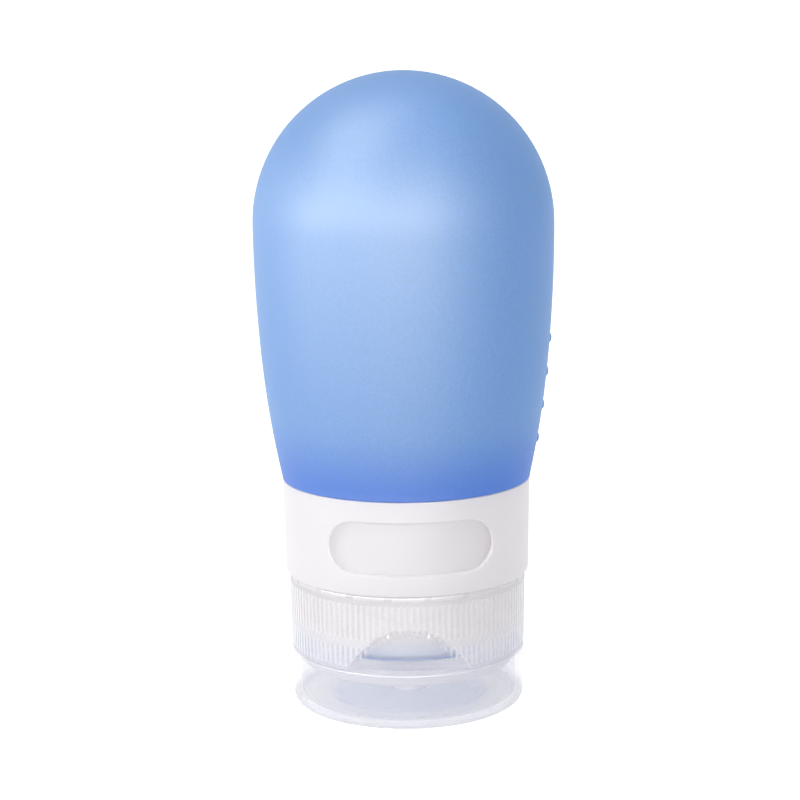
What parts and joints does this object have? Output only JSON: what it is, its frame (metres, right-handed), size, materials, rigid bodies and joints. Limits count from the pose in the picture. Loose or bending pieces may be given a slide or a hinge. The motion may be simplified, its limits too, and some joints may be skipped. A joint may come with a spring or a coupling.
{
  "type": "travel squeeze bottle",
  "caption": "Domed silicone squeeze bottle standing on its frosted screw cap with a flip lid, slit valve and turning windowed collar.",
  "frame": {"origin": "centre of the flip lid's flat outer face, which rests on the table", "axes": "+Z along the bottle's axis, up to the dome; -Y is the front, with the finger scoop and the window; the lid hinge is at +Y"},
  "size_m": [0.0442, 0.0442, 0.0943],
  "materials": {
    "blue_silicone": "matt, finely speckled",
    "blue_silicone_seal": "satin",
    "clear_silicone": "satin",
    "white_pp": "moulded satin",
    "natural_pp": "moulded",
    "frosted_pp": "frosted"
  },
  "bodies": {
    "bottle": {"silicone_body": "blue_silicone", "neck_ring": "natural_pp", "contents_ring": "white_pp"},
    "collar": {"collar": "white_pp"},
    "gasket": {"cup_gasket": "blue_silicone_seal"},
    "cap": {"cap_base": "frosted_pp", "threaded_insert": "natural_pp", "slit_valve": "clear_silicone", "hinge_web": "frosted_pp"},
    "lid": {"flip_lid": "frosted_pp"}
  },
  "joints": [
    {"name": "collar_turn", "type": "hinge", "parent": "bottle", "child": "collar", "pos_m": [0, 0, 0.0274], "axis": [0, 0, 1], "continuous": true},
    {"name": "cap_lift", "type": "slide", "parent": "bottle", "child": "gasket", "axis": [0, 0, -1], "range_m": [0, 0.0097]},
    {"name": "cap_turn", "type": "hinge", "parent": "gasket", "child": "cap", "pos_m": [0, 0, 0.0144], "axis": [0, 0, -1], "range_deg": [0, 1152]},
    {"name": "lid_open", "type": "hinge", "parent": "cap", "child": "lid", "pos_m": [0, 0.0179, 0.00855], "axis": [1, 0, 0], "range_deg": [0, 160]}
  ],
  "couplings": [
    {"joint": "cap_lift", "follows": "cap_turn", "m_per_rad": 0.00047746}
  ]
}
